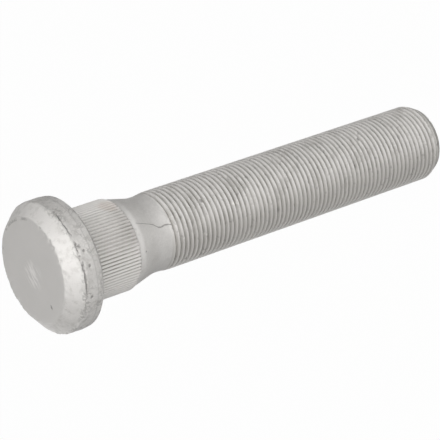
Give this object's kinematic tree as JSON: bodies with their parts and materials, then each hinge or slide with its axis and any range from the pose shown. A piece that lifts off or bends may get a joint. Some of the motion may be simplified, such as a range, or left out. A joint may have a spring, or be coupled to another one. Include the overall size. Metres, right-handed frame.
{
  "type": "wheel bolt",
  "caption": "Press-in wheel bolt: round chamfered head, serrated shoulder that grips a hub flange, waisted neck and a long fine-threaded shank for a wheel nut.",
  "frame": {"origin": "centre of the flat end of the threaded shank, on which the bolt stands", "axes": "+Z along the bolt's axis, up towards the head; X and Y across it"},
  "size_m": [0.0362, 0.0362, 0.1334],
  "materials": {
    "coated_steel": "matte pale grey zinc-flake coating on forged steel, slightly soiled"
  },
  "bodies": {
    "root": {"wheel_bolt": "coated_steel"}
  },
  "joints": []
}
